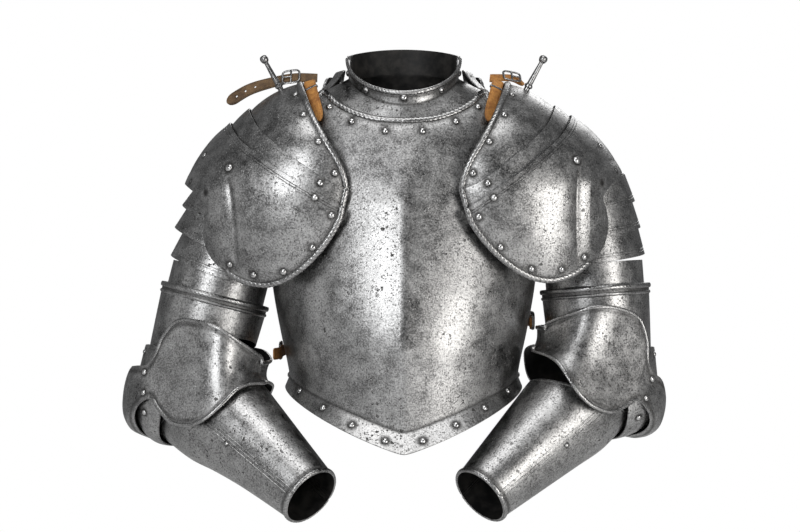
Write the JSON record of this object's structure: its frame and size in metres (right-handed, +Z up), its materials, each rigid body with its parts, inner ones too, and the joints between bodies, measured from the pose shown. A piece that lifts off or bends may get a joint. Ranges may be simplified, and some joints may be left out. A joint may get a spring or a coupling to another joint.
{
  "type": "half armour",
  "caption": "Half armour of steel plate: breastplate and backplate, collar, laminated shoulder defences and complete articulated arms, with leather straps.",
  "frame": {"origin": "middle of the neck opening, at the level where the collar rests on the shoulders of the display bust", "axes": "+X to the wearer's left, +Y to the wearer's back, +Z up"},
  "size_m": [0.7035, 0.3373, 0.5839],
  "materials": {
    "steel": "aged, pitted and burnished",
    "bright_steel": "polished and worn",
    "orange_leather": "dry tan leather",
    "brown_leather": "worn brown leather"
  },
  "bodies": {
    "cuirass": {"breastplate": "steel", "backplate": "steel", "gorget_front": "steel", "gorget_rear": "steel", "left_gorget_latch_stud": "bright_steel", "right_gorget_pivot_rivet": "bright_steel", "left_shoulder_pin": "bright_steel", "left_pauldron_tongue": "orange_leather", "left_shoulder_strap": "orange_leather", "left_shoulder_buckle": "bright_steel", "left_shoulder_strip": "steel", "left_waist_strap": "orange_leather", "left_waist_buckle": "bright_steel", "left_pauldron_top_lame": "steel", "right_shoulder_pin": "bright_steel", "right_pauldron_tongue": "orange_leather", "right_shoulder_strap": "brown_leather", "right_shoulder_buckle": "bright_steel", "right_shoulder_strip": "steel", "right_waist_strap": "orange_leather", "right_waist_buckle": "bright_steel", "right_pauldron_top_lame": "steel"},
    "left_pauldron_middle": {"left_pauldron_second_lame": "steel"},
    "left_pauldron_main": {"left_pauldron_main_plate": "steel"},
    "left_lame_1": {"left_pauldron_lower_lame_1": "steel"},
    "left_lame_2": {"left_pauldron_lower_lame_2": "steel"},
    "left_lame_3": {"left_pauldron_lower_lame_3": "steel"},
    "left_sleeve": {"left_upper_cannon_sleeve": "steel"},
    "left_upper_arm": {"left_upper_cannon": "steel"},
    "left_elbow_upper": {"left_elbow_upper_lame": "steel"},
    "left_elbow_cop": {"left_couter": "steel"},
    "left_elbow_lower": {"left_elbow_lower_lame": "steel"},
    "left_forearm": {"left_lower_cannon_outer": "steel", "left_lower_cannon_inner": "steel", "left_vambrace_hinge_pin_1": "bright_steel", "left_vambrace_hinge_pin_2": "bright_steel"},
    "right_pauldron_middle": {"right_pauldron_second_lame": "steel"},
    "right_pauldron_main": {"right_pauldron_main_plate": "steel"},
    "right_lame_1": {"right_pauldron_lower_lame_1": "steel"},
    "right_lame_2": {"right_pauldron_lower_lame_2": "steel"},
    "right_lame_3": {"right_pauldron_lower_lame_3": "steel"},
    "right_sleeve": {"right_upper_cannon_sleeve": "steel"},
    "right_upper_arm": {"right_upper_cannon": "steel"},
    "right_elbow_upper": {"right_elbow_upper_lame": "steel"},
    "right_elbow_cop": {"right_couter": "steel"},
    "right_elbow_lower": {"right_elbow_lower_lame": "steel"},
    "right_forearm": {"right_lower_cannon_outer": "steel", "right_lower_cannon_inner": "steel", "right_vambrace_hinge_pin_1": "bright_steel", "right_vambrace_hinge_pin_2": "bright_steel"}
  },
  "joints": [
    {"name": "left_pauldron_lift", "type": "hinge", "parent": "cuirass", "child": "left_pauldron_middle", "pos_m": [0.107, 0, -0.099], "axis": [0, -1, 0], "range_deg": [0, 8]},
    {"name": "left_pauldron_main_lift", "type": "hinge", "parent": "left_pauldron_middle", "child": "left_pauldron_main", "pos_m": [0.11539, 0, -0.11682], "axis": [0, -1, 0], "range_deg": [0, 8]},
    {"name": "left_arm_raise", "type": "hinge", "parent": "left_pauldron_main", "child": "left_lame_1", "pos_m": [0.264, 0, -0.101], "axis": [0, -1, 0], "range_deg": [0, 6]},
    {"name": "left_lame_2_raise", "type": "hinge", "parent": "left_lame_1", "child": "left_lame_2", "pos_m": [0.262, 0, -0.136], "axis": [0, -1, 0], "range_deg": [0, 6]},
    {"name": "left_lame_3_raise", "type": "hinge", "parent": "left_lame_2", "child": "left_lame_3", "pos_m": [0.266, 0, -0.165], "axis": [0, -1, 0], "range_deg": [0, 6]},
    {"name": "left_sleeve_raise", "type": "hinge", "parent": "left_lame_3", "child": "left_sleeve", "pos_m": [0.27, 0, -0.198], "axis": [0, -1, 0], "range_deg": [0, 6]},
    {"name": "left_arm_turn", "type": "hinge", "parent": "left_sleeve", "child": "left_upper_arm", "pos_m": [0.2445, -0.01, -0.242], "axis": [-0.0747, 0.0868, 0.9934], "range_deg": [0, 25]},
    {"name": "left_elbow_bend", "type": "hinge", "parent": "left_upper_arm", "child": "left_forearm", "pos_m": [0.25316, -0.02007, -0.35724], "axis": [-0.572, 0.8123, -0.114], "range_deg": [-46, 0]},
    {"name": "left_elbow_upper_bend", "type": "hinge", "parent": "left_upper_arm", "child": "left_elbow_upper", "pos_m": [0.25316, -0.02007, -0.35724], "axis": [-0.572, 0.8123, -0.114], "range_deg": [-4.6, 0]},
    {"name": "left_couter_bend", "type": "hinge", "parent": "left_upper_arm", "child": "left_elbow_cop", "pos_m": [0.25316, -0.02007, -0.35724], "axis": [-0.572, 0.8123, -0.114], "range_deg": [-18.4, 0]},
    {"name": "left_elbow_lower_bend", "type": "hinge", "parent": "left_upper_arm", "child": "left_elbow_lower", "pos_m": [0.25316, -0.02007, -0.35724], "axis": [-0.572, 0.8123, -0.114], "range_deg": [-41.4, 0]},
    {"name": "right_pauldron_lift", "type": "hinge", "parent": "cuirass", "child": "right_pauldron_middle", "pos_m": [-0.107, 0, -0.099], "axis": [0, 1, 0], "range_deg": [0, 8]},
    {"name": "right_pauldron_main_lift", "type": "hinge", "parent": "right_pauldron_middle", "child": "right_pauldron_main", "pos_m": [-0.11461, 0, -0.11717], "axis": [0, 1, 0], "range_deg": [0, 8]},
    {"name": "right_arm_raise", "type": "hinge", "parent": "right_pauldron_main", "child": "right_lame_1", "pos_m": [-0.253, 0, -0.118], "axis": [0, 1, 0], "range_deg": [0, 6]},
    {"name": "right_lame_2_raise", "type": "hinge", "parent": "right_lame_1", "child": "right_lame_2", "pos_m": [-0.259, 0, -0.15], "axis": [0, 1, 0], "range_deg": [0, 6]},
    {"name": "right_lame_3_raise", "type": "hinge", "parent": "right_lame_2", "child": "right_lame_3", "pos_m": [-0.263, 0, -0.178], "axis": [0, 1, 0], "range_deg": [0, 6]},
    {"name": "right_sleeve_raise", "type": "hinge", "parent": "right_lame_3", "child": "right_sleeve", "pos_m": [-0.268, 0, -0.206], "axis": [0, 1, 0], "range_deg": [0, 6]},
    {"name": "right_arm_turn", "type": "hinge", "parent": "right_sleeve", "child": "right_upper_arm", "pos_m": [-0.2415, -0.005, -0.252], "axis": [-0.2461, -0.0868, -0.9654], "range_deg": [-11, 25]},
    {"name": "right_elbow_bend", "type": "hinge", "parent": "right_upper_arm", "child": "right_forearm", "pos_m": [-0.27004, -0.01507, -0.36398], "axis": [-0.5559, -0.8032, 0.2139], "range_deg": [-54, 0]},
    {"name": "right_elbow_upper_bend", "type": "hinge", "parent": "right_upper_arm", "child": "right_elbow_upper", "pos_m": [-0.27004, -0.01507, -0.36398], "axis": [-0.5559, -0.8032, 0.2139], "range_deg": [-5.4, 0]},
    {"name": "right_couter_bend", "type": "hinge", "parent": "right_upper_arm", "child": "right_elbow_cop", "pos_m": [-0.27004, -0.01507, -0.36398], "axis": [-0.5559, -0.8032, 0.2139], "range_deg": [-21.6, 0]},
    {"name": "right_elbow_lower_bend", "type": "hinge", "parent": "right_upper_arm", "child": "right_elbow_lower", "pos_m": [-0.27004, -0.01507, -0.36398], "axis": [-0.5559, -0.8032, 0.2139], "range_deg": [-48.6, 0]}
  ],
  "couplings": [
    {"joint": "left_pauldron_main_lift", "follows": "left_pauldron_lift", "ratio": 1},
    {"joint": "left_lame_2_raise", "follows": "left_arm_raise", "ratio": 1},
    {"joint": "left_lame_3_raise", "follows": "left_arm_raise", "ratio": 1},
    {"joint": "left_sleeve_raise", "follows": "left_arm_raise", "ratio": 1},
    {"joint": "left_elbow_upper_bend", "follows": "left_elbow_bend", "ratio": 0.1},
    {"joint": "left_couter_bend", "follows": "left_elbow_bend", "ratio": 0.4},
    {"joint": "left_elbow_lower_bend", "follows": "left_elbow_bend", "ratio": 0.9},
    {"joint": "right_pauldron_main_lift", "follows": "right_pauldron_lift", "ratio": 1},
    {"joint": "right_lame_2_raise", "follows": "right_arm_raise", "ratio": 1},
    {"joint": "right_lame_3_raise", "follows": "right_arm_raise", "ratio": 1},
    {"joint": "right_sleeve_raise", "follows": "right_arm_raise", "ratio": 1},
    {"joint": "right_elbow_upper_bend", "follows": "right_elbow_bend", "ratio": 0.1},
    {"joint": "right_couter_bend", "follows": "right_elbow_bend", "ratio": 0.4},
    {"joint": "right_elbow_lower_bend", "follows": "right_elbow_bend", "ratio": 0.9}
  ]
}
